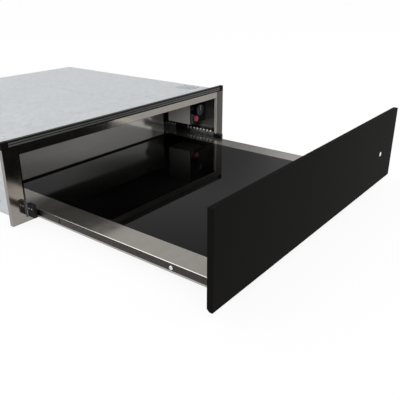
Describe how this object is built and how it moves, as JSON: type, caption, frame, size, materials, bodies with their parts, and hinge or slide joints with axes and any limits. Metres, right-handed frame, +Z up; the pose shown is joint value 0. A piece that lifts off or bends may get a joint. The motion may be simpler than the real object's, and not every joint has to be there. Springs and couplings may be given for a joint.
{
  "type": "built-in warming drawer",
  "caption": "Low built-in warming drawer on telescopic slides, with a flat glass tray, a plain black front, a bright steel frame and a hot-air fan at the back.",
  "frame": {"origin": "on the underside of the housing, midway across, in the plane of the cabinet's front edge", "axes": "+X to the right seen from the front, +Y back into the cabinet, +Z up"},
  "size_m": [0.596, 0.9557, 0.1455],
  "materials": {
    "galvanised_sheet": "satin galvanised sheet",
    "polished_steel": "bright polished stainless sheet",
    "brushed_steel": "fine brushed stainless sheet",
    "zinc_plated_steel": "zinc plated, satin",
    "bright_steel": "bright ground steel",
    "element_steel": "heat-darkened tube",
    "black_front": "matt black powder coat",
    "black_glass": "gloss black glass",
    "black_gloss": "gloss black",
    "black_plastic": "satin moulded black",
    "black_rubber": "matt silicone",
    "cable_sleeve": "matt woven sleeve",
    "red_lens": "translucent red lens",
    "clear_lens": "frosted clear",
    "white_ceramic": "glazed white"
  },
  "bodies": {
    "housing": {"base_pan": "galvanised_sheet", "side_wall_left": "galvanised_sheet", "side_wall_right": "galvanised_sheet", "back_wall": "galvanised_sheet", "top_cover": "galvanised_sheet", "front_frame": "polished_steel", "top_trim": "black_plastic", "trim_cap_left": "black_plastic", "trim_cap_right": "black_plastic", "slide_outer_left": "zinc_plated_steel", "slide_outer_right": "zinc_plated_steel", "control_box": "brushed_steel", "control_box_edge_strip": "black_plastic", "control_fascia": "black_gloss", "heat_regulator": "black_plastic", "power_switch": "black_plastic", "fan_guard": "galvanised_sheet", "fan_guard_stay_left": "galvanised_sheet", "fan_guard_stay_right": "galvanised_sheet", "fan_motor": "zinc_plated_steel", "heating_element": "element_steel", "safety_cutout": "white_ceramic", "terminal_box": "black_plastic", "cable_gland": "black_plastic", "wiring_harness": "cable_sleeve", "push_latch": "black_plastic"},
    "fan_rotor": {"fan_wheel": "brushed_steel"},
    "knob": {"temperature_knob": "black_plastic"},
    "button": {"power_button": "red_lens"},
    "plunger": {"latch_plunger": "bright_steel"},
    "middle_left": {"slide_middle_left": "zinc_plated_steel", "slide_front_glide_left": "black_plastic"},
    "middle_right": {"slide_middle_right": "zinc_plated_steel", "slide_front_glide_right": "black_plastic"},
    "cage_left": {"ball_cage_left": "bright_steel"},
    "cage_right": {"ball_cage_right": "bright_steel"},
    "drawer": {"front_panel": "black_front", "front_back_plate": "black_front", "indicator_light_guide": "clear_lens", "tray_frame": "polished_steel", "glass_base": "black_glass", "rear_seal": "black_rubber", "tray_rear_wall": "brushed_steel", "rear_wall_rail": "brushed_steel", "tray_under_pan": "galvanised_sheet", "slide_inner_left": "zinc_plated_steel", "slide_inner_right": "zinc_plated_steel", "slide_rear_glide_left": "black_plastic", "slide_rear_glide_right": "black_plastic", "rear_guide_block_left": "black_plastic", "rear_guide_block_right": "black_plastic", "front_bracket_left": "galvanised_sheet", "front_bracket_right": "galvanised_sheet", "tray_screw_left_front": "bright_steel", "tray_screw_left_rear": "bright_steel", "tray_screw_right_front": "bright_steel", "tray_screw_right_rear": "bright_steel", "bracket_screw_left": "bright_steel", "bracket_screw_right": "bright_steel"}
  },
  "joints": [
    {"name": "drawer_slide", "type": "slide", "parent": "housing", "child": "drawer", "axis": [0, 1, 0], "range_m": [0, 0.392]},
    {"name": "middle_left_slide", "type": "slide", "parent": "housing", "child": "middle_left", "axis": [0, 1, 0], "range_m": [0, 0.0271]},
    {"name": "middle_right_slide", "type": "slide", "parent": "housing", "child": "middle_right", "axis": [0, 1, 0], "range_m": [0, 0.0271]},
    {"name": "cage_left_slide", "type": "slide", "parent": "housing", "child": "cage_left", "axis": [0, 1, 0], "range_m": [0, 0.0136]},
    {"name": "cage_right_slide", "type": "slide", "parent": "housing", "child": "cage_right", "axis": [0, 1, 0], "range_m": [0, 0.0136]},
    {"name": "fan_spin", "type": "hinge", "parent": "housing", "child": "fan_rotor", "pos_m": [0, 0.5065, 0.062], "axis": [0, 1, 0], "continuous": true},
    {"name": "knob_turn", "type": "hinge", "parent": "housing", "child": "knob", "pos_m": [0.232, 0.0262, 0.0917], "axis": [0, 1, 0], "range_deg": [0, 270]},
    {"name": "button_press", "type": "slide", "parent": "housing", "child": "button", "axis": [0, 1, 0], "range_m": [0, 0.002], "stiffness_N_per_m": 300, "springref_m": -0.002},
    {"name": "plunger_press", "type": "slide", "parent": "housing", "child": "plunger", "axis": [0, 1, 0], "range_m": [0, 0.003], "stiffness_N_per_m": 500, "springref_m": -0.002}
  ],
  "couplings": [
    {"joint": "middle_left_slide", "follows": "drawer_slide", "ratio": 0.068877},
    {"joint": "middle_right_slide", "follows": "drawer_slide", "ratio": 0.068877},
    {"joint": "cage_left_slide", "follows": "drawer_slide", "ratio": 0.034438},
    {"joint": "cage_right_slide", "follows": "drawer_slide", "ratio": 0.034438}
  ]
}
